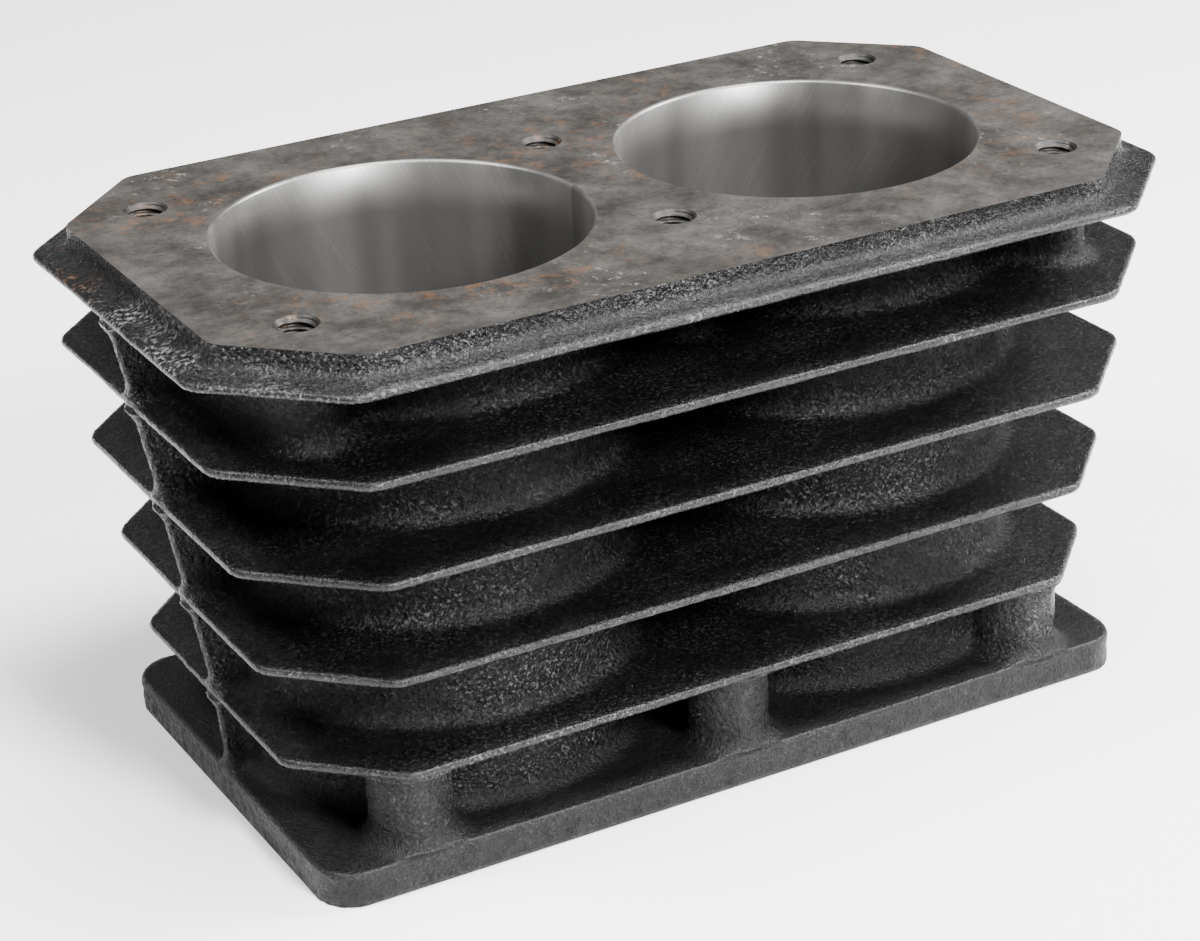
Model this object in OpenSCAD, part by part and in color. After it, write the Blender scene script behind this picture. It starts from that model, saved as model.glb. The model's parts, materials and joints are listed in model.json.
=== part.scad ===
// Twin-bore air-cooled cylinder casting with a tapped head face and a base flange.
// Millimetres. +X runs along the row of bores, +Y to the back, +Z up.
// The origin is on the underside, midway between the two bores.

/* [Bores] */
// Diameter of each finished bore
bore_d = 88.9; // [60:0.1:120]
// Wall thickness of each barrel
barrel_wall = 5.5; // [4:0.1:9]
// Gap between the outsides of the two barrels
barrel_gap = 7.7; // [2:0.1:30]
// Chamfer at the mouth of each bore
bore_mouth_chamfer = 0.8; // [0.3:0.1:2]
// Lead-in chamfer at the foot of each bore
bore_foot_chamfer = 2; // [0.5:0.1:3]
// Width of the web that joins the barrels, across the casting
web_w = 24; // [10:1:30]

/* [Deck] */
// How far the machined deck reaches past the barrels at each end
deck_end = 16.65; // [12:0.05:22]
// How far the machined deck reaches past the barrels at front and back
deck_side = 19.05; // [12:0.05:23]
// Cut at each corner of the deck, along both edges
deck_cut = 24.8; // [5:0.1:30]
// Height of the deck above the flange around it
deck_rise = 5.9; // [3:0.1:12]
// How far the deck flange reaches past the barrels at each end
flange_end = 24.75; // [20:0.05:40]
// How far the deck flange reaches past the barrels at front and back
flange_side = 25.45; // [20:0.05:40]
// Cut at each corner of the deck flange
flange_cut = 27.3; // [5:0.1:34]
// Thickness of the deck flange
flange_t = 2.5; // [2:0.1:6]

/* [Fins] */
// Thickness of each fin
fin_t = 2.5; // [2:0.1:4]
// Air gap between one fin and the next
fin_gap = 23.3; // [12:0.1:30]
// Air gap between the top fin and the deck flange
top_gap = 19.1; // [12:0.1:30]
// How far the top fin reaches past the barrels at each end
fin_end = 20.75; // [17:0.05:40]
// How far the top fin reaches past the barrels at front and back
fin_side = 23.3; // [22:0.05:40]
// Cut at each corner of the top fin
fin_cut = 27; // [10:0.1:33]
// How much less each fin reaches past the barrels' ends than the one above it
fin_end_step = 4.1; // [0:0.05:5]
// How much less each fin reaches past their front and back than the one above it
fin_side_step = 3.1; // [0:0.05:3.8]
// How much smaller each corner cut is than the one above it
fin_cut_step = 1.5; // [0:0.1:3]

/* [Base] */
// How far the base flange reaches past the barrels at each end
base_end = 7.05; // [4:0.05:20]
// How far the base flange reaches past the barrels at front and back
base_side = 12.55; // [10:0.05:15]
// Thickness of the base flange
base_t = 8.7; // [6:0.1:16]
// Radius at each corner of the base flange
base_r = 10; // [2:0.5:20]
// Air gap between the base flange and the lowest fin
base_gap = 19.8; // [12:0.1:30]

/* [Ribs] */
// Thickness of the upright rib at each end
rib_t = 3; // [2:0.1:8]
// How far the rib stands back from the edges of the plates that it joins
rib_inset = 0.8; // [0:0.1:4]

/* [Tapped holes] */
// Diameter of each tapped hole inside the thread crests
tap_d = 7.94; // [5:0.01:9.6]
// Diameter of the countersink at each mouth
sink_d = 10.6; // [9.7:0.1:14]
// Iron left between the full bore of a tapped hole and the fin at its boss's far end
tap_floor = 3.5; // [3:0.1:8]
// Angle of the drill point at the bottom of each hole
drill_angle = 118; // [110:1:140]

/* [Deck holes] */
// How far the corner holes lie inside the barrels' ends
deck_hole_end_in = 3.55; // [0:0.05:8]
// How far the corner holes lie inside the barrels' front and back
deck_hole_side_in = 5.95; // [0:0.05:9]
// How far the two middle holes lie inside the barrels' front and back
deck_mid_side_in = 17.05; // [0:0.05:18]
// Diameter of the boss under each deck hole
deck_boss_d = 15; // [12:0.1:22]
// How far past the barrels' ends the wall from each corner boss meets the end rib
deck_wall_end = 10.8; // [5:0.1:15]

/* [Base holes] */
// How far each corner hole lies inward, along X, of where its boss just meets the barrel
base_hole_end_in = 0.312; // [-13.44:0.001:3.6]
// Iron left between each base boss and the long edge of the base flange
base_boss_edge = 1.5; // [0.5:0.1:3]
// Diameter of the boss over each base hole
base_boss_d = 20; // [15:0.1:24]

/* [Hidden] */
$fn = 96;
fin_count = 4;
fin_pitch = fin_gap + fin_t;
barrel_r = bore_d / 2 + barrel_wall;
bore_spacing = 2 * barrel_r + barrel_gap;
barrels_end = bore_spacing / 2 + barrel_r;
deck_l = 2 * (barrels_end + deck_end);
deck_w = 2 * (barrel_r + deck_side);
flange_l = 2 * (barrels_end + flange_end);
flange_w = 2 * (barrel_r + flange_side);
base_l = 2 * (barrels_end + base_end);
base_w = 2 * (barrel_r + base_side);
deck_hole_x = barrels_end - deck_hole_end_in;
deck_hole_y = barrel_r - deck_hole_side_in;
deck_mid_y = barrel_r - deck_mid_side_in;
base_hole_y = base_w / 2 - base_boss_edge - base_boss_d / 2;
base_meet_x = sqrt((barrel_r + base_boss_d / 2) ^ 2 - base_hole_y ^ 2);
base_hole_x = bore_spacing / 2 + base_meet_x - base_hole_end_in;
lowest_fin_z = base_t + base_gap;
top_fin_z = lowest_fin_z + (fin_count - 1) * fin_pitch;
flange_z = top_fin_z + fin_t + top_gap;
deck_z = flange_z + flange_t;
total_h = deck_z + deck_rise;
deck_tap_depth = deck_rise + flange_t + top_gap - tap_floor;
base_tap_depth = base_t + base_gap - tap_floor;
arm_half_w = deck_boss_d / 2 - 0.2;
sink_h = (sink_d - tap_d) / 2;
drill_tip_h = tap_d / 2 / tan(drill_angle / 2);
over = 1;

// Sizes of fin n, counted from 1 at the top
function fin_length(n) = 2 * (barrels_end + fin_end - (n - 1) * fin_end_step);
function fin_width(n) = 2 * (barrel_r + fin_side - (n - 1) * fin_side_step);
function fin_corner(n) = fin_cut - (n - 1) * fin_cut_step;
function fin_z(n) = top_fin_z - (n - 1) * fin_pitch;

// Plates from the top down: plate 0 is the deck flange, then the fins, then the base flange
function plate_length(n) = n == 0 ? flange_l : n > fin_count ? base_l : fin_length(n);
function plate_floor(n) = n == 0 ? flange_z : fin_z(n);
function plate_roof(n) = n > fin_count ? base_t : fin_z(n) + fin_t;

// A rectangle whose four corners are cut off at 45 degrees
module cut_rectangle(length, width, cut) {
    x = length / 2;
    y = width / 2;
    polygon([
        [-x, -y + cut], [-x + cut, -y], [x - cut, -y], [x, -y + cut],
        [x, y - cut], [x - cut, y], [-x + cut, y], [-x, y - cut]
    ]);
}

// A rectangle with round corners
module round_rectangle(length, width, radius) {
    square([length - 2 * radius, width], center = true);
    square([length, width - 2 * radius], center = true);
    for (sx = [-1, 1], sy = [-1, 1])
        translate([sx * (length / 2 - radius), sy * (width / 2 - radius)])
            circle(r = radius);
}

// The outlines of the two barrels
module barrel_outlines() {
    for (side = [-1, 1])
        translate([side * bore_spacing / 2, 0])
            circle(r = barrel_r);
}

// The outline of the web between the barrels
module web_outline() {
    difference() {
        square([bore_spacing, web_w], center = true);
        barrel_outlines();
    }
}

// Everything that passes through a fin
module core_outline() {
    barrel_outlines();
    web_outline();
}

// Places its children at the holes of a pattern: four corners and two in the middle
module at_pattern(corner_x, corner_y, middle_y) {
    for (side = [-1, 1]) {
        for (end = [-1, 1])
            translate([end * corner_x, side * corner_y, 0])
                children();
        translate([0, side * middle_y, 0])
            children();
    }
}

// A tapped hole with its mouth at the origin, cut downward
module tapped_hole(depth) {
    translate([0, 0, -depth])
        cylinder(d = tap_d, h = depth + over);
    translate([0, 0, -depth - drill_tip_h])
        cylinder(d1 = 0, d2 = tap_d, h = drill_tip_h);
    translate([0, 0, -sink_h])
        cylinder(d1 = tap_d, d2 = sink_d, h = sink_h);
    cylinder(d = sink_d, h = over);
}

module deck_holes() {
    at_pattern(deck_hole_x, deck_hole_y, deck_mid_y)
        translate([0, 0, total_h])
            tapped_hole(deck_tap_depth);
}

module base_holes() {
    at_pattern(base_hole_x, base_hole_y, base_hole_y)
        mirror([0, 0, 1])
            tapped_hole(base_tap_depth);
}

module deck_plate() {
    color("#8f8c88")
        difference() {
            translate([0, 0, deck_z])
                linear_extrude(deck_rise)
                    difference() {
                        cut_rectangle(deck_l, deck_w, deck_cut);
                        barrel_outlines();
                    }
            deck_holes();
        }
}

module deck_flange() {
    color("#2d2b2a")
        difference() {
            translate([0, 0, flange_z])
                linear_extrude(flange_t)
                    difference() {
                        cut_rectangle(flange_l, flange_w, flange_cut);
                        barrel_outlines();
                    }
            deck_holes();
        }
}

// Fin n, counted from 1 at the top
module fin(n) {
    color("#2d2b2a")
        translate([0, 0, fin_z(n)])
            linear_extrude(fin_t)
                difference() {
                    cut_rectangle(fin_length(n), fin_width(n), fin_corner(n));
                    core_outline();
                }
}

module base_flange() {
    color("#383534")
        difference() {
            linear_extrude(base_t)
                difference() {
                    round_rectangle(base_l, base_w, base_r);
                    barrel_outlines();
                }
            base_holes();
        }
}

// One barrel, open at both ends; side is -1 at the left and 1 at the right
module barrel(side) {
    color("#77777a")
        translate([side * bore_spacing / 2, 0, 0])
            difference() {
                cylinder(r = barrel_r, h = total_h);
                translate([0, 0, -over])
                    cylinder(d = bore_d, h = total_h + 2 * over);
                translate([0, 0, total_h - bore_mouth_chamfer])
                    cylinder(d1 = bore_d, d2 = bore_d + 2 * bore_mouth_chamfer, h = bore_mouth_chamfer);
                translate([0, 0, total_h])
                    cylinder(d = bore_d + 2 * bore_mouth_chamfer, h = over);
                cylinder(d1 = bore_d + 2 * bore_foot_chamfer, d2 = bore_d, h = bore_foot_chamfer);
                translate([0, 0, -over])
                    cylinder(d = bore_d + 2 * bore_foot_chamfer, h = over);
            }
}

module barrel_web() {
    color("#2d2b2a")
        translate([0, 0, base_t])
            linear_extrude(flange_z - base_t)
                web_outline();
}

// The rib at one end: one upright piece in each gap, from the barrel out to the plates' edges
module end_rib(side) {
    color("#2d2b2a")
        for (n = [0 : fin_count]) {
            low = plate_roof(n + 1);
            high = plate_floor(n);
            low_x = plate_length(n + 1) / 2 - rib_inset;
            high_x = plate_length(n) / 2 - rib_inset;
            difference() {
                rotate([90, 0, 0])
                    linear_extrude(rib_t, center = true)
                        polygon([
                            [side * bore_spacing / 2, low], [side * low_x, low],
                            [side * high_x, high], [side * bore_spacing / 2, high]
                        ]);
                translate([side * bore_spacing / 2, 0, low - over])
                    cylinder(r = barrel_r, h = high - low + 2 * over);
            }
        }
}

// The outline of the iron that ties a corner boss to its barrel and its end rib.
// sx and sy are the signs of the corner's x and y.
module deck_corner_outline(sx, sy) {
    hole = [deck_hole_x, deck_hole_y];
    wall_foot = [barrels_end + deck_wall_end, rib_t / 2];
    to_axis = [bore_spacing / 2, 0] - hole;
    to_rib = wall_foot - [arm_half_w, 0] - hole;
    side = [to_axis[1], -to_axis[0]] * arm_half_w / norm(to_axis);
    end = [-to_rib[1], to_rib[0]] * arm_half_w / norm(to_rib);
    points = [
        hole + side,
        hole + end,
        wall_foot,
        [bore_spacing / 2, rib_t / 2],
        [bore_spacing / 2, 0] + side
    ];
    order = sx * sy > 0 ? [4 : -1 : 0] : [0 : 4];
    polygon([for (i = order) [sx * points[i][0], sy * points[i][1]]]);
}

// The boss under one deck hole; a corner boss runs into its barrel and its end rib
module deck_boss(x, y) {
    color("#2d2b2a")
        difference() {
            translate([0, 0, top_fin_z + fin_t])
                linear_extrude(top_gap) {
                    translate([x, y])
                        circle(d = deck_boss_d);
                    if (x != 0)
                        deck_corner_outline(sign(x), sign(y));
                }
            deck_holes();
            linear_extrude(total_h)
                core_outline();
        }
}

// The boss over one base hole
module base_boss(x, y) {
    color("#2d2b2a")
        difference() {
            translate([x, y, base_t])
                cylinder(d = base_boss_d, h = base_gap);
            base_holes();
            linear_extrude(total_h)
                core_outline();
        }
}

deck_plate();
deck_flange();
fin(1);  // fin_1
fin(2);  // fin_2
fin(3);  // fin_3
fin(4);  // fin_4
base_flange();
barrel(-1);  // barrel_left
barrel(1);  // barrel_right
barrel_web();
end_rib(-1);  // end_rib_left
end_rib(1);  // end_rib_right
deck_boss(-deck_hole_x, -deck_hole_y);  // deck_boss_front_left
deck_boss(0, -deck_mid_y);  // deck_boss_front_middle
deck_boss(deck_hole_x, -deck_hole_y);  // deck_boss_front_right
deck_boss(-deck_hole_x, deck_hole_y);  // deck_boss_back_left
deck_boss(0, deck_mid_y);  // deck_boss_back_middle
deck_boss(deck_hole_x, deck_hole_y);  // deck_boss_back_right
base_boss(-base_hole_x, -base_hole_y);  // base_boss_front_left
base_boss(0, -base_hole_y);  // base_boss_front_middle
base_boss(base_hole_x, -base_hole_y);  // base_boss_front_right
base_boss(-base_hole_x, base_hole_y);  // base_boss_back_left
base_boss(0, base_hole_y);  // base_boss_back_middle
base_boss(base_hole_x, base_hole_y);  // base_boss_back_right
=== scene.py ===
"""Looks of a twin-bore air-cooled cylinder casting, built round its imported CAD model.

The casting is one distance field: barrels, web, ribs, bosses and plates run into each other with
fillets. A surface net turns the field into one skin, which is divided between named pieces, one for
each CAD node. The bore linings and the tapped holes are exact meshes let into that skin.
Inside the script lengths are in millimetres; a mesh is scaled to metres when it is made.
"""
import json
import math

import bpy
import numpy as np
from mathutils import Matrix, Vector


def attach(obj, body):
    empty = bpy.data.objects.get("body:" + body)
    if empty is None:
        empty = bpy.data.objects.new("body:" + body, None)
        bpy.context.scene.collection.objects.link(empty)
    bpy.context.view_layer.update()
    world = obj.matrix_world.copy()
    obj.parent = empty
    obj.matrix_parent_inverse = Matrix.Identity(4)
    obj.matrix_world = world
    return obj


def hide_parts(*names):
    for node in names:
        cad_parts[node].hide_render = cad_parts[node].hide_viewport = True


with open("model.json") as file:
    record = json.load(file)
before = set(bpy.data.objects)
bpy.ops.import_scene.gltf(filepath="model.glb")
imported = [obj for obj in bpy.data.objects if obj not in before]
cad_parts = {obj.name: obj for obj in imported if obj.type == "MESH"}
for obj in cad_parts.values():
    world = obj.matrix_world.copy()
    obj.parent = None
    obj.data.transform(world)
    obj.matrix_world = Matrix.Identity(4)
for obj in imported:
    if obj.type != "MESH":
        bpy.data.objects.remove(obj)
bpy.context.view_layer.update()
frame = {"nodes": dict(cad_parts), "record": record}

MM = 0.001
BODY = "root"

# ---------------------------------------------------------------- sizes read from the frame


def cad_points(node):
    """A CAD node's vertices, in millimetres."""
    mesh = frame["nodes"][node].data
    points = np.zeros(len(mesh.vertices) * 3)
    mesh.vertices.foreach_get("co", points)
    return points.reshape(-1, 3) / MM


class Plate:
    """An eight-sided plate: half sizes, corner cut and levels."""

    def __init__(self, node):
        points = cad_points(node)
        self.half_x, self.half_y = points[:, 0].max(), points[:, 1].max()
        self.floor, self.roof = points[:, 2].min(), points[:, 2].max()
        on_long_edge = points[:, 1] > self.half_y - 0.01
        self.cut = self.half_x - points[on_long_edge, 0].max()


def mount(name):
    return next(m for m in frame["record"]["mounts"] if m["name"] == name)


def middle_and_radius(node):
    """Middle in x and y, and half the larger side, of a node that is a boss or a barrel."""
    points = cad_points(node)
    low, high = points.min(0), points.max(0)
    return (low[0] + high[0]) / 2, (low[1] + high[1]) / 2, max(high[:2] - low[:2]) / 2


PLATE_NODES = ["deck_flange", "fin_1", "fin_2", "fin_3", "fin_4", "base_flange"]
PLACES = [(d, p) for d in ("front", "back") for p in ("left", "middle", "right")]
PLATES = {name: Plate(name) for name in PLATE_NODES}
DECK = Plate("deck_plate")
FLANGE, BASE = PLATES["deck_flange"], PLATES["base_flange"]
TOP = DECK.roof
BORE_R = mount("bore_left")["dims"]["r_mm"]
BORE_X, _, BARREL_R = middle_and_radius("barrel_right")
WEB_HALF = cad_points("barrel_web")[:, 1].max()
RIB_HALF = cad_points("end_rib_left")[:, 1].max()
DECK_BOSS_R = middle_and_radius("deck_boss_front_middle")[2]
BASE_BOSS_R = middle_and_radius("base_boss_front_middle")[2]
TAP_R = mount("deck_bolts_corner")["dims"]["hole_r_mm"]


def hole_middles(kind):
    """The middles of the six holes of one face, by place, from its two bolt mounts."""
    corner, middle = mount(f"{kind}_bolts_corner")["dims"], mount(f"{kind}_bolts_middle")["dims"]
    found = {}
    for depth, place in PLACES:
        across = (middle if place == "middle" else corner)["spacing_y_mm"] / 2
        along = {"left": -1, "middle": 0, "right": 1}[place] * corner["spacing_x_mm"] / 2
        found[f"{depth}_{place}"] = (along, across if depth == "back" else -across)
    return found


DECK_HOLES = hole_middles("deck")
BASE_HOLES = hole_middles("base")

# Sizes of the finish, which the CAD model leaves out
LINING = 2.6          # thickness of the exact bore lining let into the skin
INSERT_R = 6.1        # outer radius of the exact piece round each tapped hole
SINK_R = 5.3          # countersink, where it meets the face
PITCH = 1.5875        # sixteen threads to the inch
THREAD_R = 4.76       # bottom of the thread, from the hole's axis
THREAD_DEPTH = 11.0   # how far down the thread is cut
DRILL_HALF_ANGLE = 59
DECK_DRILL = 24.0     # depths of the tapped holes, to the drill's shoulder
BASE_DRILL = 25.0
ROOT_FILLET = 4.8     # plate to barrel
BOSS_FILLET = 4.6     # boss to plate and barrel
WEB_FILLET = 3.0
RIB_FILLET = 2.2
RIB_EDGE_R = 0.9
COVE = 1.5            # foot of the deck side
SWEEP = 1.6           # how far the flange rises from its lip to the deck side
CORNER_R = 3.0        # plate corners, seen from above
DECK_CORNER_R = 2.0
EDGE_R = 1.3          # plate edges
LIP_R = 1.7           # edge of the flange
RIB_INSET = 0.8       # end ribs, behind the plates' edges
STEP = 0.85
STEP_Z = 0.6

# ---------------------------------------------------------------- distance field


def blend_union(a, b, r):
    """Union of two fields with a fillet of radius r."""
    return np.maximum(r, np.minimum(a, b)) - np.hypot(np.maximum(r - a, 0), np.maximum(r - b, 0))


def octagon(x, y, half_x, half_y, cut, r):
    """Distance to a rectangle with 45 degree corner cuts and corners rounded to r."""
    ax, ay = np.abs(x) - half_x + r, np.abs(y) - half_y + r
    slant = (ax + ay + cut - r * (2 - math.sqrt(2))) / math.sqrt(2)
    return np.maximum(blend_max(ay, slant, r), blend_max(ax, slant, r)) - r


def blend_max(a, b, r):
    """Intersection of two half planes that meet at 135 degrees, its corner rounded."""
    k = 0.8 * r
    h = np.clip(0.5 - 0.5 * (b - a) / k, 0, 1)
    return b * (1 - h) + a * h + k * h * (1 - h)


def rounded_rectangle(x, y, half_x, half_y, r):
    ax, ay = np.abs(x) - half_x + r, np.abs(y) - half_y + r
    return np.hypot(np.maximum(ax, 0), np.maximum(ay, 0)) + np.minimum(np.maximum(ax, ay), 0) - r


def rounded_meet(a, b, r):
    """Intersection of two fields, its edge rounded to r."""
    return np.hypot(np.maximum(a + r, 0), np.maximum(b + r, 0)) + np.minimum(np.maximum(a, b) + r, 0) - r


def slab(outline, z, low, high, r):
    """An outline carried from low to high, its edges rounded to r."""
    return rounded_meet(outline, np.abs(z - (low + high) / 2) - (high - low) / 2, r)


half = [FLANGE.half_x + 3 * STEP, FLANGE.half_y + 3 * STEP]
xs = np.arange(-half[0], half[0], STEP, dtype=np.float32)
ys = np.arange(-half[1], half[1], STEP, dtype=np.float32)
layers_below = 3
zs = np.arange(TOP + 3.5 * STEP_Z, -layers_below * STEP_Z, -STEP_Z, dtype=np.float32)[::-1].copy()
gx, gy = np.meshgrid(xs, ys, indexing="ij")

barrel_2d = {s: np.hypot(gx - s * BORE_X, gy) - BARREL_R for s in (-1, 1)}
barrels_2d = np.minimum(barrel_2d[-1], barrel_2d[1])
web_2d = np.maximum(np.abs(gy) - WEB_HALF, np.abs(gx) - BORE_X)
core_2d = blend_union(barrels_2d, web_2d, WEB_FILLET)
bores_2d = np.minimum(barrel_2d[-1], barrel_2d[1]) + BARREL_R - BORE_R - LINING
outline = {
    n: octagon(gx, gy, p.half_x, p.half_y, p.cut, CORNER_R)
    for n, p in PLATES.items() if n != "base_flange"
}
BASE_R = BASE.cut
outline["base_flange"] = rounded_rectangle(gx, gy, BASE.half_x, BASE.half_y, BASE_R)
deck_2d = octagon(gx, gy, DECK.half_x, DECK.half_y, DECK.cut, DECK_CORNER_R)


def bosses_2d(middles, r):
    return np.min([np.hypot(gx - x, gy - y) for x, y in middles.values()], axis=0) - r


def through(ax, ay, bx, by, x, y):
    """Signed distance to the line from a to b, negative on its right."""
    run = math.hypot(bx - ax, by - ay)
    return ((x - ax) * (ay - by) + (y - ay) * (bx - ax)) / run


def corner_walls():
    """The outline of the iron that ties the corner bosses to their barrels and end ribs."""
    hx, hy = DECK_HOLES["back_right"]
    px, py = np.abs(gx), np.abs(gy)
    reach = cad_points("deck_boss_back_right")[:, 0].max()
    front = through(BORE_X, 0, hx, hy, px, py) - DECK_BOSS_R
    outer = through(hx + DECK_BOSS_R, hy, reach, RIB_HALF, px, py)
    arm = math.hypot(hx - BORE_X, hy)
    side_x, side_y = hx - DECK_BOSS_R * hy / arm, hy + DECK_BOSS_R * (hx - BORE_X) / arm
    past_hole = through(side_x, side_y, hx + DECK_BOSS_R, hy, px, py)
    return np.maximum.reduce([front, outer, past_hole, BORE_X - px])


deck_corner_2d = corner_walls()
deck_boss_2d = bosses_2d(DECK_HOLES, DECK_BOSS_R)
base_boss_2d = bosses_2d(BASE_HOLES, BASE_BOSS_R)
deck_hole_2d = deck_boss_2d + DECK_BOSS_R - INSERT_R
deck_boss_2d = blend_union(deck_boss_2d, deck_corner_2d, 0.5)
base_hole_2d = base_boss_2d + BASE_BOSS_R - INSERT_R
POINT_ROOM = 3        # past the shoulder, for the drill's point
DECK_HOLE_FLOOR = TOP - DECK_DRILL - POINT_ROOM
BASE_HOLE_ROOF = BASE_DRILL + POINT_ROOM

PLATE_REACH = 9       # how far above and below itself a plate still shapes the field
STACK = [PLATES[n] for n in PLATE_NODES]


def rib_reach(z):
    """How far out the end rib's edge stands at height z, on a line from plate to plate."""
    levels = [p for s in reversed(STACK) for p in (s.floor, s.roof)]
    reach = [s.half_x - RIB_INSET for s in reversed(STACK) for _ in (0, 1)]
    return float(np.interp(z, levels, reach))


def field_at(z):
    """The field over one level."""
    d = core_2d
    # Within a plate the ribs and bosses are left out: their fillets would swell the plate's edge
    in_plate = any(p.floor <= z <= p.roof for p in PLATES.values())
    if z < FLANGE.floor and not in_plate:
        flanks = np.maximum(np.abs(gy) - RIB_HALF, BORE_X - np.abs(gx))
        rib = slab(flanks, np.abs(gx), 0, rib_reach(z), RIB_EDGE_R)
        d = blend_union(d, rib, RIB_FILLET)
    if FLANGE.floor > z > PLATES["fin_1"].roof:
        d = blend_union(d, deck_boss_2d, BOSS_FILLET)
    if BASE.roof < z < PLATES["fin_4"].floor:
        d = blend_union(d, base_boss_2d, BOSS_FILLET)
    for name, plate in PLATES.items():
        if not plate.floor - PLATE_REACH < z < plate.roof + PLATE_REACH:
            continue
        r = LIP_R if name == "deck_flange" else EDGE_R
        low = -4.0 if name == "base_flange" else plate.floor
        shape = slab(outline[name], z, low, plate.roof, r)
        d = blend_union(d, shape, ROOT_FILLET)
    if z > DECK.floor - 8:
        rise = SWEEP * np.clip(1 - deck_2d / (FLANGE.half_x - DECK.half_x), 0, 1) ** 2
        sweep = rounded_meet(outline["deck_flange"], z - FLANGE.roof - rise, LIP_R)
        d = np.minimum(d, np.maximum(sweep, FLANGE.floor + LIP_R - z))
        d = blend_union(d, np.maximum(deck_2d, FLANGE.roof - 1 - z), COVE)
    d = np.maximum(d, -bores_2d)
    if z > DECK_HOLE_FLOOR:
        d = np.maximum(d, -deck_hole_2d)
    if z < BASE_HOLE_ROOF:
        d = np.maximum(d, -base_hole_2d)
    return np.maximum(d, max(-z, z - TOP))


# ---------------------------------------------------------------- which piece a point belongs to

PIECES = ["air", "deck_plate", *PLATE_NODES, "barrel_left", "barrel_right", "barrel_web",
          "end_rib_left", "end_rib_right"]
PIECES += [f"{kind}_boss_{d}_{p}" for kind in ("deck", "base") for d, p in PLACES]
# Each barrel is three closed bands, which keeps its meshes to a moderate size
PIECES += [f"barrel_{side}_{band}" for side in ("left", "right") for band in ("lower", "upper")]
CODE = {name: i for i, name in enumerate(PIECES)}
ZONE = 4.2            # how far a plate's piece reaches up and down its root fillets
DECK_ZONE = 2.4       # of the deck's thickness, left to the flange's piece
RIB_ZONE = 2.5        # how far a rib's piece reaches into its fillets
WEB_ZONE = 3.2
WEB_SHARE = 0.9       # of the barrel's radius, past which the web's piece starts
ARM_ZONE = 2.0        # how far a deck boss's piece reaches into its fillets


def nearest_boss(middles, kind):
    """The label of the nearest boss, and the distance to its axis, at every point of a level."""
    places = list(middles)
    distance = [np.hypot(gx - middles[k][0], gy - middles[k][1]) for k in places]
    codes = np.array([CODE[f"{kind}_boss_{k}"] for k in places], dtype=np.int8)
    return codes[np.argmin(distance, axis=0)], np.min(distance, axis=0)


deck_boss_code, _ = nearest_boss(DECK_HOLES, "deck")
base_boss_code, base_boss_far = nearest_boss(BASE_HOLES, "base")
barrel_code = np.where(gx < 0, CODE["barrel_left"], CODE["barrel_right"]).astype(np.int8)
in_barrel = barrels_2d < 0


def labels_at(z):
    """The piece of every point of one level, before air is taken out."""
    if z > DECK.floor + DECK_ZONE:
        code = np.full(gx.shape, CODE["deck_plate"], dtype=np.int8)
    else:
        near = [n for n, p in PLATES.items() if p.floor - ZONE < z < p.roof + ZONE]
        if near:
            code = np.full(gx.shape, CODE[near[0]], dtype=np.int8)
        else:
            code = barrel_code.copy()
            rib = (np.abs(gy) < RIB_HALF + RIB_ZONE) & (np.abs(gx) > BORE_X)
            code[rib] = np.where(gx[rib] < 0, CODE["end_rib_left"], CODE["end_rib_right"])
            web = (np.abs(gx) < BORE_X - BARREL_R * WEB_SHARE) & (np.abs(gy) < WEB_HALF + WEB_ZONE)
            code[web] = CODE["barrel_web"]
            if z > PLATES["fin_1"].roof:
                boss = (deck_boss_2d < ARM_ZONE) & (np.abs(gy) > RIB_HALF)
                code[boss] = deck_boss_code[boss]
            if z < PLATES["fin_4"].floor:
                boss = base_boss_far < BASE_BOSS_R + BOSS_FILLET
                code[boss] = base_boss_code[boss]
    code[in_barrel] = barrel_code[in_barrel]
    band = "lower" if z < TOP / 3 else "upper" if z > TOP * 2 / 3 else None
    for side in ("left", "right") if band else ():
        code[code == CODE[f"barrel_{side}"]] = CODE[f"barrel_{side}_{band}"]
    return code


# ---------------------------------------------------------------- surface net


field = np.empty((len(xs), len(ys), len(zs)), dtype=np.float32)
label = np.zeros(field.shape, dtype=np.int8)
for k, z in enumerate(zs):
    field[:, :, k] = field_at(float(z))
    solid = field[:, :, k] < 0
    label[:, :, k][solid] = labels_at(float(z))[solid]

COVER = 1.3           # iron wanted over a hidden point
DEEPEST_PUSH = 0.9
SNAP = 0.62           # share of a level's height within which a skin point joins a machined face
CELLS = tuple(n - 1 for n in field.shape)
STEPS = (STEP, STEP, STEP_Z)
ORIGIN = (float(xs[0]), float(ys[0]), float(zs[0]))


def crossings(axis):
    """Grid edges along one axis whose ends differ: place, crossing, and the two labels."""
    a = [slice(None)] * 3
    b = [slice(None)] * 3
    a[axis], b[axis] = slice(None, -1), slice(1, None)
    la, lb = label[tuple(a)], label[tuple(b)]
    at = np.argwhere(la != lb)
    one = tuple(at.T)
    fa, fb = field[tuple(a)][one], field[tuple(b)][one]
    la, lb = la[one], lb[one]
    outer = (la == 0) | (lb == 0)
    t = np.where(outer, np.clip(fa / np.where(fa == fb, 1, fa - fb), 0, 1), 0.5)
    return at, t, la, lb, outer


def flat_cell(at):
    """One number for each cell of the grid."""
    return (at[:, 0] * CELLS[1] + at[:, 1]) * CELLS[2] + at[:, 2]


edges = [crossings(axis) for axis in range(3)]
corner_lists = []
for axis in range(3):
    u, v = (axis + 1) % 3, (axis + 2) % 3
    at = edges[axis][0]
    around = []
    for du, dv in ((-1, -1), (0, -1), (0, 0), (-1, 0)):
        cell = at.copy()
        cell[:, u] += du
        cell[:, v] += dv
        around.append(flat_cell(cell))
    corner_lists.append(np.stack(around, axis=1))

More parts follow.
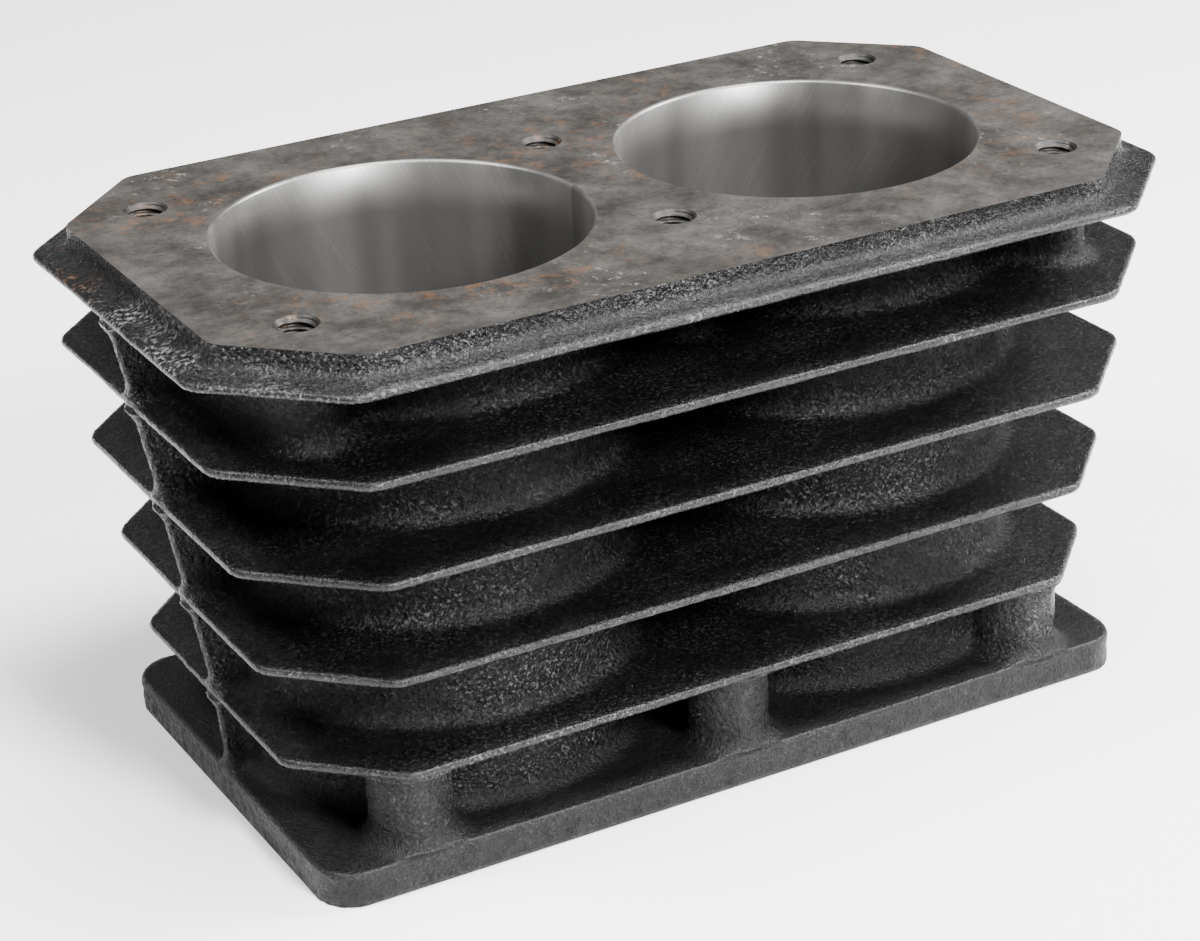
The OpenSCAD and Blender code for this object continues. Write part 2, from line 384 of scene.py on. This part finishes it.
used, compact = np.unique(np.concatenate([c.ravel() for c in corner_lists]), return_inverse=True)
compact = compact.ravel()
outer_sum, inner_sum = np.zeros((len(used), 4)), np.zeros((len(used), 4))
quads, start = [], 0
for axis in range(3):
    at, t, la, lb, outer = edges[axis]
    count = len(at) * 4
    corners = compact[start:start + count].reshape(-1, 4)
    start += count
    quads.append(corners)
    place = at.astype(np.float64)
    place[:, axis] += t
    for chosen, total in ((outer, outer_sum), (~outer, inner_sum)):
        ids = corners[chosen].ravel()
        for c in range(3):
            weight = np.repeat(place[chosen, c], 4)
            total[:, c] += np.bincount(ids, weights=weight, minlength=len(used))
        total[:, 3] += np.bincount(ids, minlength=len(used))
on_skin = outer_sum[:, 3] > 0
total = np.where(on_skin[:, None], outer_sum, inner_sum)
points = total[:, :3] / total[:, 3:] * np.array(STEPS) + np.array(ORIGIN)

cell_of = np.stack([used // CELLS[2] // CELLS[1], used // CELLS[2] % CELLS[1], used % CELLS[2]], axis=1)
inner = ~on_skin
at = cell_of[inner]
corner_field = {
    (a, b, c): field[at[:, 0] + a, at[:, 1] + b, at[:, 2] + c]
    for a in (0, 1) for b in (0, 1) for c in (0, 1)
}
depth = -sum(corner_field.values()) / 8
slope = np.zeros((len(at), 3))
for key, value in corner_field.items():
    for axis in range(3):
        slope[:, axis] += value * (1 if key[axis] else -1) / 4 / STEPS[axis]
slope /= np.maximum(np.linalg.norm(slope, axis=1), 1e-6)[:, None]
# Hidden points near the skin are pushed further in, so that no inner wall shows through it
points[inner] -= slope * np.clip(COVER - depth, 0, DEEPEST_PUSH)[:, None]

# Machined planes, bore and hole rims are true: their points go onto them exactly
near_top = on_skin & (points[:, 2] > TOP - SNAP * STEP_Z)
near_foot = on_skin & (points[:, 2] < SNAP * STEP_Z)
points[near_top, 2], points[near_foot, 2] = TOP, 0.0


cell_xy = used // CELLS[2]


def crossed(flat_field):
    """Which points lie in a column of cells that a flat outline runs through."""
    inside = flat_field < 0
    count = (inside[:-1, :-1].astype(int) + inside[1:, :-1] + inside[:-1, 1:] + inside[1:, 1:])
    return ((count > 0) & (count < 4)).ravel()[cell_xy]


def pull_to_circle(x, y, r, chosen):
    """Moves the chosen points near a circle onto it."""
    away = points[:, :2] - (x, y)
    far = np.hypot(away[:, 0], away[:, 1])
    hit = chosen & (np.abs(far - r) < 3 * STEP)
    points[hit, :2] = np.array((x, y)) + away[hit] * (r / far[hit])[:, None]


on_bore = on_skin & crossed(bores_2d)
for s in (-1, 1):
    pull_to_circle(s * BORE_X, 0, BORE_R + LINING, on_bore)
for middles, flat_field, deep in ((DECK_HOLES, deck_hole_2d, points[:, 2] > DECK_HOLE_FLOOR),
                                  (BASE_HOLES, base_hole_2d, points[:, 2] < BASE_HOLE_ROOF)):
    for x, y in middles.values():
        pull_to_circle(x, y, INSERT_R, on_skin & crossed(flat_field) & deep)
slope_x, slope_y = np.gradient(deck_2d, STEP)
rim = near_top & crossed(deck_2d)
ci, cj = cell_xy[rim] // CELLS[1], cell_xy[rim] % CELLS[1]
fx, fy = (points[rim, 0] - ORIGIN[0]) / STEP - ci, (points[rim, 1] - ORIGIN[1]) / STEP - cj


def sample(grid):
    """A level's values at the points of the deck's rim."""
    return ((grid[ci, cj] * (1 - fx) + grid[ci + 1, cj] * fx) * (1 - fy)
            + (grid[ci, cj + 1] * (1 - fx) + grid[ci + 1, cj + 1] * fx) * fy)


points[rim, :2] -= np.stack([sample(slope_x), sample(slope_y)], axis=1) * sample(deck_2d)[:, None]

# ---------------------------------------------------------------- faces, normals and casting grain

faces, face_label, face_skin = [], [], []
for axis in range(3):
    at, t, la, lb, outer = edges[axis]
    corners = quads[axis]
    for owner, ring in ((la, corners), (lb, corners[:, ::-1])):
        keep = owner > 0
        faces.append(ring[keep])
        face_label.append(owner[keep])
        face_skin.append(outer[keep])
faces = np.concatenate(faces)
face_label = np.concatenate(face_label)
face_skin = np.concatenate(face_skin)


def face_normals():
    a, b = points[faces[:, 2]] - points[faces[:, 0]], points[faces[:, 3]] - points[faces[:, 1]]
    n = np.cross(a, b)
    return n / np.maximum(np.linalg.norm(n, axis=1), 1e-12)[:, None]


def all_at(value):
    return np.all(np.abs(points[faces, 2] - value) < 1e-4, axis=1)


machined_top, machined_foot = face_skin & all_at(TOP), face_skin & all_at(0.0)
cast = face_skin & ~machined_top & ~machined_foot


def cast_normals():
    n, out = face_normals()[cast], np.zeros(points.shape)
    for corner in range(4):
        for c in range(3):
            out[:, c] += np.bincount(faces[cast, corner], weights=n[:, c], minlength=len(points))
    return out / np.maximum(np.linalg.norm(out, axis=1), 1e-9)[:, None]


LATTICE = 61          # random values along each side of a noise block


def lattice_noise(p, size, seed):
    """Smooth noise from -1 to 1 over a lattice of random values, size apart."""
    lattice = np.random.RandomState(seed).uniform(-1, 1, (LATTICE, LATTICE, LATTICE))
    q = p / size + 1000
    whole = np.floor(q).astype(int)
    f = q - whole
    f = f * f * (3 - 2 * f)
    total = 0
    for dx in (0, 1):
        for dy in (0, 1):
            for dz in (0, 1):
                weight = (np.where(dx, f[:, 0], 1 - f[:, 0]) * np.where(dy, f[:, 1], 1 - f[:, 1])
                          * np.where(dz, f[:, 2], 1 - f[:, 2]))
                value = lattice[tuple((whole[:, a] + d) % LATTICE for a, d in enumerate((dx, dy, dz)))]
                total = total + weight * value
    return total


def turning_out():
    """How far the skin turns outwards at each point: 0 where flat or hollow, 1 on a plate's edge."""
    total, count, ring = np.zeros(len(points)), np.zeros(len(points)), faces[cast]
    for corner in range(4):
        for p, q in ((corner, (corner + 1) % 4), ((corner + 1) % 4, corner)):
            run = points[ring[:, q]] - points[ring[:, p]]
            fall = -np.sum(run * normals[ring[:, p]], axis=1) / np.maximum(np.linalg.norm(run, axis=1), 1e-6)
            total += np.bincount(ring[:, p], weights=fall, minlength=len(points))
            count += np.bincount(ring[:, p], minlength=len(points))
    return np.clip((total / np.maximum(count, 1) - 0.03) / 0.10, 0, 1)


normals = cast_normals()
edge = turning_out()
free = np.zeros(len(points), dtype=bool)
free[np.unique(faces[cast])] = True
fixed = np.zeros(len(points), dtype=bool)
fixed[np.unique(faces[machined_top | machined_foot])] = True
moved = np.where(free & ~fixed)[0]
spot, facing = points[moved], normals[moved]
upright = 1 - np.abs(facing[:, 2])
grain = (0.06 + 0.17 * upright) * lattice_noise(spot, 2.3, 3)
grain += (0.04 + 0.12 * upright) * lattice_noise(spot, 1.35, 5)
grain *= 1 - 0.65 * edge[moved]
calm = np.where(spot[:, 2] < BASE.roof, 0.4, 1)
wave = calm * (0.14 * lattice_noise(spot, 24, 7) + 0.10 * lattice_noise(spot, 7, 11))
shift = np.zeros(points.shape)
shift[moved] = facing * (grain + wave - 0.12 * (1 - edge[moved]))[:, None]
hidden = faces[~face_skin]
below = ~on_skin
for _ in range(4):
    mean, total, count = shift[hidden].mean(axis=1), np.zeros(points.shape), np.zeros(len(points))
    for corner in range(4):
        for c in range(3):
            total[:, c] += np.bincount(hidden[:, corner], weights=mean[:, c], minlength=len(points))
        count += np.bincount(hidden[:, corner], minlength=len(points))
    shift[below] = (total / np.maximum(count, 1)[:, None])[below]
points += shift
limit = np.array([FLANGE.half_x, FLANGE.half_y, TOP])
points[:] = np.clip(points, -limit * (1, 1, 0), limit)
normals = cast_normals()

# ---------------------------------------------------------------- materials


class Nodes:
    """Small helper that adds shader nodes and links them."""

    def __init__(self, name):
        self.material = bpy.data.materials.new(name)
        self.material.use_nodes = True
        self.tree = self.material.node_tree
        self.shader = self.tree.nodes["Principled BSDF"]
        self.coords = self.tree.nodes.new("ShaderNodeTexCoord").outputs["Object"]
        # Noise is sampled on turned axes, so that its lattice never lies along the object's faces
        turned = self.add("ShaderNodeMapping", Vector=self.coords)
        turned.inputs["Rotation"].default_value = (0.62, 0.47, 0.81)
        self.turned = turned.outputs["Vector"]

    def add(self, kind, **inputs):
        node = self.tree.nodes.new(kind)
        for key, value in inputs.items():
            self.put(node, key.replace("_", " "), value)
        return node

    def put(self, node, key, value):
        if isinstance(value, bpy.types.NodeSocket):
            self.tree.links.new(value, node.inputs[key])
        else:
            node.inputs[key].default_value = value

    def stretch(self, scale, angle=0.0):
        node = self.add("ShaderNodeMapping", Vector=self.coords)
        node.inputs["Scale"].default_value = scale
        node.inputs["Rotation"].default_value = (0, 0, angle)
        return node.outputs["Vector"]

    def noise(self, per_metre, detail=4.0, roughness=0.6, vector=None):
        node = self.add("ShaderNodeTexNoise", Scale=per_metre, Detail=detail, Roughness=roughness)
        self.put(node, "Vector", vector or self.turned)
        return node.outputs["Fac"]

    def ramp(self, value, *stops):
        node = self.add("ShaderNodeValToRGB", Fac=value)
        band = node.color_ramp
        while len(band.elements) < len(stops):
            band.elements.new(0.5)
        for element, (place, colour) in zip(band.elements, stops):
            element.position = place
            element.color = (*colour, 1) if len(colour) == 3 else colour
        return node.outputs["Color"]

    def span(self, value, low, high, to_low, to_high):
        node = self.tree.nodes.new("ShaderNodeMapRange")
        for key, v in zip(("Value", "From Min", "From Max", "To Min", "To Max"),
                          (value, low, high, to_low, to_high)):
            self.put(node, key, v)
        return node.outputs["Result"]

    def math(self, operation, a, b=0.0):
        node = self.tree.nodes.new("ShaderNodeMath")
        node.operation = operation
        self.put(node, 0, a)
        self.put(node, 1, b)
        return node.outputs[0]

    def times(self, a, b):
        return self.math("MULTIPLY", a, b)

    def geometry(self, output):
        return self.tree.nodes.new("ShaderNodeNewGeometry").outputs[output]

    def mix(self, factor, a, b):
        node = self.tree.nodes.new("ShaderNodeMix")
        node.data_type = "RGBA"
        for index, value in ((0, factor), (6, a), (7, b)):
            if isinstance(value, bpy.types.NodeSocket):
                self.tree.links.new(value, node.inputs[index])
            else:
                node.inputs[index].default_value = value if index == 0 else (*value, 1)
        return node.outputs[2]

    def bump(self, height, strength, distance, under=None):
        node = self.add("ShaderNodeBump", Height=height, Strength=strength, Distance=distance)
        if under:
            self.put(node, "Normal", under)
        return node.outputs["Normal"]

    def finish(self, **inputs):
        for key, value in inputs.items():
            self.put(self.shader, key.replace("_", " "), value)
        return self.material


# Where the painted glints on the flange's left end fade in and out, in metres
PAINTED_GLINTS_X = (-0.120, -0.108)
PAINTED_GLINTS_Z = (0.1255, 0.1275)
PAINTED_GLINTS_Y = (0.005, 0.020)


def cast_iron(name, dark, light, glint, rough_low, rough_high, specular):
    """Sand-cast skin: blotched colour, coarse pits and fine grains that catch the light, with painted
    glints: light specks laid in the colour, a painted highlight along convex edges, and painted glints on
    the flange's left end.
    """
    n = Nodes(name)
    body = n.ramp(n.noise(45, 5, 0.62), (0.34, dark), (0.66, light))
    facing = n.add("ShaderNodeSeparateXYZ", Vector=n.geometry("Normal")).outputs["Z"]
    wall = n.span(n.math("ABSOLUTE", facing), 0.35, 0.95, 1.0, 0.30)
    edge = n.add("ShaderNodeAttribute")
    edge.attribute_name = "edge"
    edge = edge.outputs["Fac"]
    # Painted glints: light specks in the colour that stand in for sparkle, thick on the walls and in patches
    # elsewhere
    painted_glints = n.times(n.span(n.noise(1250, 2, 0.6), 0.56, 0.64, 0.0, 1.0),
                     n.span(n.noise(34, 3, 0.6), 0.40, 0.62, 0.08, 1.0))
    colour = n.mix(n.times(painted_glints, n.span(wall, 0.3, 1.0, 0.35, 1.0)), body, glint)
    # Painted highlight: convex edges are made lighter in the colour, as if they caught the light
    rim = n.span(edge, 0.5, 1.0, 0.0, 0.12)
    colour = n.mix(n.times(rim, n.span(n.noise(420, 4, 0.7), 0.46, 0.60, 0.0, 1.0)), colour, glint)
    # Painted glints on the flange's left end: coppery at the back and bright at the front
    place = n.add("ShaderNodeSeparateXYZ", Vector=n.coords)
    corner = n.times(n.span(place.outputs["X"], *PAINTED_GLINTS_X, 1.0, 0.0),
                     n.span(place.outputs["Z"], *PAINTED_GLINTS_Z, 0.0, 1.0))
    glint_cluster = n.times(corner, n.span(n.noise(75, 3, 0.6), 0.48, 0.58, 0.0, 1.0))
    corner_glint = n.times(glint_cluster, n.span(n.noise(900, 4, 0.7), 0.52, 0.62, 0.0, 0.8))
    copper = n.mix(n.span(place.outputs["Y"], *PAINTED_GLINTS_Y, 0.0, 1.0),
                   (0.20, 0.195, 0.19), (0.15, 0.080, 0.042))
    colour = n.mix(corner_glint, colour, copper)
    rough = n.span(n.noise(900, 3, 0.6), 0.36, 0.64, rough_low, rough_high)
    rough = n.math("SUBTRACT", rough, n.times(edge, 0.06))
    relief = n.times(wall, n.span(edge, 0.0, 1.0, 1.0, 0.2))
    coarse = n.bump(n.noise(980, 3, 0.6), relief, 0.0019)
    fine = n.bump(n.noise(2200, 2, 0.7), n.span(edge, 0.0, 1.0, 0.8, 0.3), 0.0005, coarse)
    return n.finish(Base_Color=colour, Roughness=rough, Normal=fine, Metallic=0.0,
                    Specular_IOR_Level=specular)


def machined(name, dark, light):
    """Milled face: faint streaks, dull mottling, patches of rust and a few bright scuffs."""
    n = Nodes(name)
    mottle = n.noise(62, 8, 0.74)
    streak = n.noise(240, 4, 0.6, n.stretch((0.12, 2.4, 1), 0.42))
    body = n.ramp(mottle, (0.36, dark), (0.63, light))
    body = n.mix(n.span(streak, 0.44, 0.64, 0.0, 0.12), body, tuple(1.4 * c for c in light))
    pits = n.span(n.noise(900, 3, 0.6), 0.57, 0.66, 0.0, 0.45)
    body = n.mix(pits, body, tuple(0.45 * c for c in dark))
    rust = n.times(n.span(n.noise(150, 7, 0.78), 0.53, 0.63, 0.0, 0.75),
                   n.span(n.noise(22, 2, 0.5), 0.47, 0.60, 0.0, 1.0))
    body = n.mix(rust, body, (0.125, 0.066, 0.036))
    scuff = n.times(n.span(n.noise(330, 7, 0.82), 0.57, 0.66, 0.0, 0.8),
                    n.span(n.noise(29, 3, 0.6), 0.53, 0.63, 0.0, 1.0))
    colour = n.mix(scuff, body, (0.42, 0.40, 0.37))
    rough = n.span(mottle, 0.34, 0.66, 0.38, 0.60)
    relief = n.bump(streak, 0.14, 0.0001)
    relief = n.bump(n.noise(1700, 3, 0.6), 0.22, 0.00012, relief)
    return n.finish(Base_Color=colour, Roughness=rough, Normal=relief, Metallic=0.62)


def honed(name):
    """Bored and honed wall: painted reflection bands down the bore, which also vary the roughness, and
    crossed scratches at the honing angle.
    """
    n = Nodes(name)
    split = n.add("ShaderNodeSeparateXYZ", Vector=n.coords)
    from_axis = n.math("SUBTRACT", n.math("ABSOLUTE", split.outputs["X"]), BORE_X * MM)
    turn = n.math("MULTIPLY", n.math("ARCTAN2", split.outputs["Y"], from_axis), BORE_R * MM)
    height = split.outputs["Z"]

    def along(u_scale, z_scale, slant=0.0):
        u = n.math("ADD", n.math("MULTIPLY", turn, u_scale), n.math("MULTIPLY", height, slant))
        node = n.add("ShaderNodeCombineXYZ", X=u, Y=n.math("MULTIPLY", height, z_scale), Z=0.0)
        return node.outputs["Vector"]

    painted_reflection_bands = n.noise(1.0, 2, 0.5, along(48, 5))
    one = n.noise(1.0, 4, 0.65, along(2100, 40, 1100))
    other = n.noise(1.0, 4, 0.65, along(2100, 40, -1100))
    # Painted reflection: light and dark bands down the bore, laid in the colour
    body = n.ramp(painted_reflection_bands, (0.32, (0.150, 0.147, 0.143)), (0.66, (0.205, 0.201, 0.195)))
    body = n.mix(n.span(one, 0.55, 0.68, 0.0, 0.18), body, (0.42, 0.41, 0.40))
    body = n.mix(n.span(other, 0.56, 0.68, 0.0, 0.30), body, (0.15, 0.14, 0.135))
    relief = n.bump(one, 0.16, 0.00006)
    relief = n.bump(other, 0.16, 0.00006, relief)
    rough = n.span(painted_reflection_bands, 0.34, 0.66, 0.32, 0.45)
    return n.finish(Base_Color=body, Roughness=rough, Normal=relief, Metallic=0.9)


BLACK = cast_iron("black_cast_iron", (0.0010, 0.0010, 0.0012), (0.0034, 0.0033, 0.0033),
                  (0.085, 0.084, 0.084), 0.16, 0.36, 0.30)
BROWN = cast_iron("base_cast_iron", (0.0022, 0.0020, 0.0019), (0.0060, 0.0056, 0.0053),
                  (0.040, 0.037, 0.035), 0.26, 0.54, 0.24)
DECK_FACE = machined("machined_deck", (0.029, 0.0265, 0.024), (0.076, 0.071, 0.066))
THREADS = machined("cut_threads", (0.010, 0.0095, 0.009), (0.034, 0.032, 0.030))
BORE_FACE = honed("honed_bore")

# ---------------------------------------------------------------- pieces


def make_piece(name, verts, polygons, materials, index, node,
               loop_normals=None, smooth=None, convex_edge=None):
    """A mesh piece in metres that rides on the casting's body and stands for a CAD node."""
    mesh = bpy.data.meshes.new(name)
    polygons = np.asarray(polygons, dtype=np.int32)
    mesh.vertices.add(len(verts))
    mesh.vertices.foreach_set("co", (np.asarray(verts) * MM).astype(np.float32).ravel())
    mesh.loops.add(polygons.size)
    mesh.loops.foreach_set("vertex_index", polygons.ravel())
    mesh.polygons.add(len(polygons))
    mesh.polygons.foreach_set("loop_start", np.arange(0, polygons.size, 4, dtype=np.int32))
    mesh.polygons.foreach_set("material_index", np.asarray(index, dtype=np.int32))
    mesh.update(calc_edges=True)
    for material in materials:
        mesh.materials.append(material)
    if smooth is None:
        smooth = np.ones(len(polygons), dtype=bool)
    mesh.polygons.foreach_set("use_smooth", smooth)
    if loop_normals is not None:
        custom = mesh.attributes.new("custom_normal", "FLOAT_VECTOR", "CORNER")
        custom.data.foreach_set("vector", loop_normals.astype(np.float32).ravel())
    if convex_edge is not None:
        mesh.attributes.new("edge", "FLOAT", "POINT").data.foreach_set("value", convex_edge.astype(np.float32))
    obj = bpy.data.objects.new(name, mesh)
    bpy.context.scene.collection.objects.link(obj)
    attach(obj, BODY)
    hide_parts(node)
    return obj


flat = face_normals()
# Skin, machined and hidden faces each have their own points, so that each keeps its own normals
kind_of_face = np.where(cast, 1, np.where(machined_top | machined_foot, 2, 0))
corner_normals = np.where(cast[:, None, None], normals[faces], flat[:, None, :])
for name in PIECES[1:]:
    mine = face_label == CODE[name]
    own_cast = BROWN if name == "base_flange" else BLACK
    ids, ring = np.unique(faces[mine] * 3 + kind_of_face[mine][:, None], return_inverse=True)
    index = np.where(machined_top[mine], 1, np.where(machined_foot[mine], 2, 0))
    node = name.removesuffix("_lower").removesuffix("_upper")
    make_piece(f"skin_{name}", points[ids // 3], ring.reshape(-1, 4), [own_cast, DECK_FACE, BROWN], index,
               node, corner_normals[mine],
              convex_edge=edge[ids // 3] * (not name.startswith("end_rib")))


def revolved(profile, x, y, around):
    """Closed ring from a closed profile of (radius, height), turned round an upright axis."""
    angle = np.arange(around) * 2 * math.pi / around
    r, z = np.array(profile).T
    verts = np.stack([x + np.outer(np.cos(angle), r), y + np.outer(np.sin(angle), r),
                      np.broadcast_to(z, (around, len(z)))], axis=2).reshape(-1, 3)
    i, j = np.meshgrid(np.arange(around), np.arange(len(r)), indexing="ij")
    i2, j2 = (i + 1) % around, (j + 1) % len(r)
    count = len(r)
    ring = np.stack([i * count + j, i2 * count + j, i2 * count + j2, i * count + j2], axis=2)
    return verts, ring.reshape(-1, 4), j.ravel()


FOOT_CHAMFER = 2.0    # of a bore
TOP_CHAMFER = 0.8
OVERLAP = 0.01        # of an exact piece with the skin round it

for s, side in ((-1, "left"), (1, "right")):
    outer_r = BORE_R + LINING + OVERLAP
    walls = np.linspace(FOOT_CHAMFER, TOP - TOP_CHAMFER, 12)
    profile = [(BORE_R + FOOT_CHAMFER, 0.0)] + [(BORE_R, z) for z in walls]
    profile += [(BORE_R + TOP_CHAMFER, TOP), (outer_r, TOP), (outer_r, 0.0)]
    verts, ring, segment = revolved(profile[::-1], s * BORE_X, 0, 320)
    level = verts[ring][:, :, 2]
    on_top, on_foot = np.all(level > TOP - 0.01, axis=1), np.all(level < 0.01, axis=1)
    index = np.where(on_top, 1, np.where(on_foot, 2, 0))
    make_piece(f"bore_lining_{side}", verts, ring, [BORE_FACE, DECK_FACE, BROWN], index,
               f"barrel_{side}", smooth=~(on_top | on_foot))


def tapped_insert(x, y, depth, up):
    """Ring with a countersunk, threaded hole and drill point; up is 1 for the deck, -1 for the base."""
    around, rows = 48, 84
    angle = np.arange(around) * 2 * math.pi / around
    down = np.linspace(0, THREAD_DEPTH, rows)
    phase = (down[None, :] / PITCH + up * angle[:, None] / (2 * math.pi)) % 1
    thread = TAP_R + (THREAD_R - TAP_R) * np.clip(1.25 * (1 - 2 * np.abs(phase - 0.5)) - 0.12, 0, 1)
    wall = np.maximum(thread, SINK_R - down[None, :])
    tail_down = [depth, depth + TAP_R / math.tan(math.radians(DRILL_HALF_ANGLE))]
    r = np.concatenate([np.full((around, 1), INSERT_R + OVERLAP), wall,
                        np.full((around, 1), TAP_R), np.full((around, 1), 0.02),
                        np.full((around, 1), 0.02), np.full((around, 1), INSERT_R + OVERLAP)], axis=1)
    floor_z = tail_down[1] + 0.4
    z = np.concatenate([[0], down, tail_down, [floor_z, floor_z]])
    height = TOP - z if up > 0 else z
    verts = np.stack([x + np.cos(angle)[:, None] * r, y + np.sin(angle)[:, None] * r,
                      np.broadcast_to(height, r.shape)], axis=2).reshape(-1, 3)
    count = r.shape[1]
    i, j = np.meshgrid(np.arange(around), np.arange(count), indexing="ij")
    i2, j2 = (i + 1) % around, (j + 1) % count
    ring = np.stack([i * count + j, i * count + j2, i2 * count + j2, i2 * count + j], axis=2)
    ring = ring.reshape(-1, 4)
    if up > 0:
        ring = ring[:, ::-1]
    return verts, ring, j.ravel()


for kind, middles, up, depth, face in (("deck", DECK_HOLES, 1, DECK_DRILL, DECK_FACE),
                                       ("base", BASE_HOLES, -1, BASE_DRILL, BROWN)):
    for place, (x, y) in middles.items():
        verts, ring, segment = tapped_insert(x, y, depth, up)
        make_piece(f"tapped_{kind}_{place}", verts, ring, [face, THREADS], np.where(segment > 0, 1, 0),
                   f"{kind}_boss_{place}",
                   smooth=segment != 0)

# ---------------------------------------------------------------- floor, light and camera

SIZE = 2 * FLANGE.half_x * MM
floor_mesh = bpy.data.meshes.new("floor")
reach = 12 * SIZE
corners = [(-reach, -reach, 0), (reach, -reach, 0), (reach, reach, 0), (-reach, reach, 0)]
floor_mesh.from_pydata(corners, [], [(0, 1, 2, 3)])
floor = bpy.data.objects.new("floor", floor_mesh)
floor.location.z = -0.0002
bpy.context.scene.collection.objects.link(floor)
paper = Nodes("pale_floor")
tone = paper.ramp(paper.noise(3, 2, 0.5), (0.3, (0.93, 0.93, 0.93)), (0.7, (0.95, 0.95, 0.95)))
floor_mesh.materials.append(paper.finish(Base_Color=tone, Roughness=0.9))

AIM = Vector((0, 0, TOP / 2 * MM))


def area_light(name, azimuth, elevation, distance, width, height, watts):
    """A soft rectangular light round the object, aimed at its middle."""
    a, e = math.radians(azimuth), math.radians(elevation)
    data = bpy.data.lights.new(name, "AREA")
    data.shape, data.size, data.size_y, data.energy = "RECTANGLE", width, height, watts
    lamp = bpy.data.objects.new(name, data)
    away = Vector((math.sin(a) * math.cos(e), -math.cos(a) * math.cos(e), math.sin(e)))
    lamp.location = AIM + distance * away
    lamp.rotation_euler = (AIM - lamp.location).to_track_quat("-Z", "Y").to_euler()
    bpy.context.scene.collection.objects.link(lamp)


area_light("key", 8, 34, 1.5, 0.34, 0.34, 70)
area_light("right", 78, 36, 1.4, 0.35, 0.45, 44)
area_light("overhead", 20, 76, 1.5, 0.6, 0.5, 44)
area_light("left_fill", -100, 58, 1.4, 0.35, 0.35, 22)

world = bpy.data.worlds.new("studio")
bpy.context.scene.world = world
world.use_nodes = True
background = world.node_tree.nodes["Background"]
background.inputs["Color"].default_value = (1, 1, 1, 1)
background.inputs["Strength"].default_value = 0.27

VIEW_TURN, VIEW_RISE, VIEW_ROLL = -28.2, 24.0, 2.44
VIEW_FROM = Vector((-0.3377, -0.6305, 0.3850))
turn, rise, roll = (math.radians(v) for v in (VIEW_TURN, VIEW_RISE, VIEW_ROLL))
back = Vector((math.sin(turn) * math.cos(rise), -math.cos(turn) * math.cos(rise), math.sin(rise)))
level = Vector((math.cos(turn), math.sin(turn), 0))
down = -back.cross(level)
right = math.cos(roll) * level + math.sin(roll) * down
camera_data = bpy.data.cameras.new("camera")
camera_data.lens, camera_data.sensor_width = 94.6, 36
camera_data.shift_x, camera_data.shift_y = -0.0147, -0.0238
camera_data.clip_start, camera_data.clip_end = 0.01, 50
camera = bpy.data.objects.new("camera", camera_data)
axes = Matrix((right, back.cross(right), back)).transposed()
camera.matrix_world = Matrix.Translation(VIEW_FROM) @ axes.to_4x4()
bpy.context.scene.collection.objects.link(camera)
bpy.context.scene.camera = camera
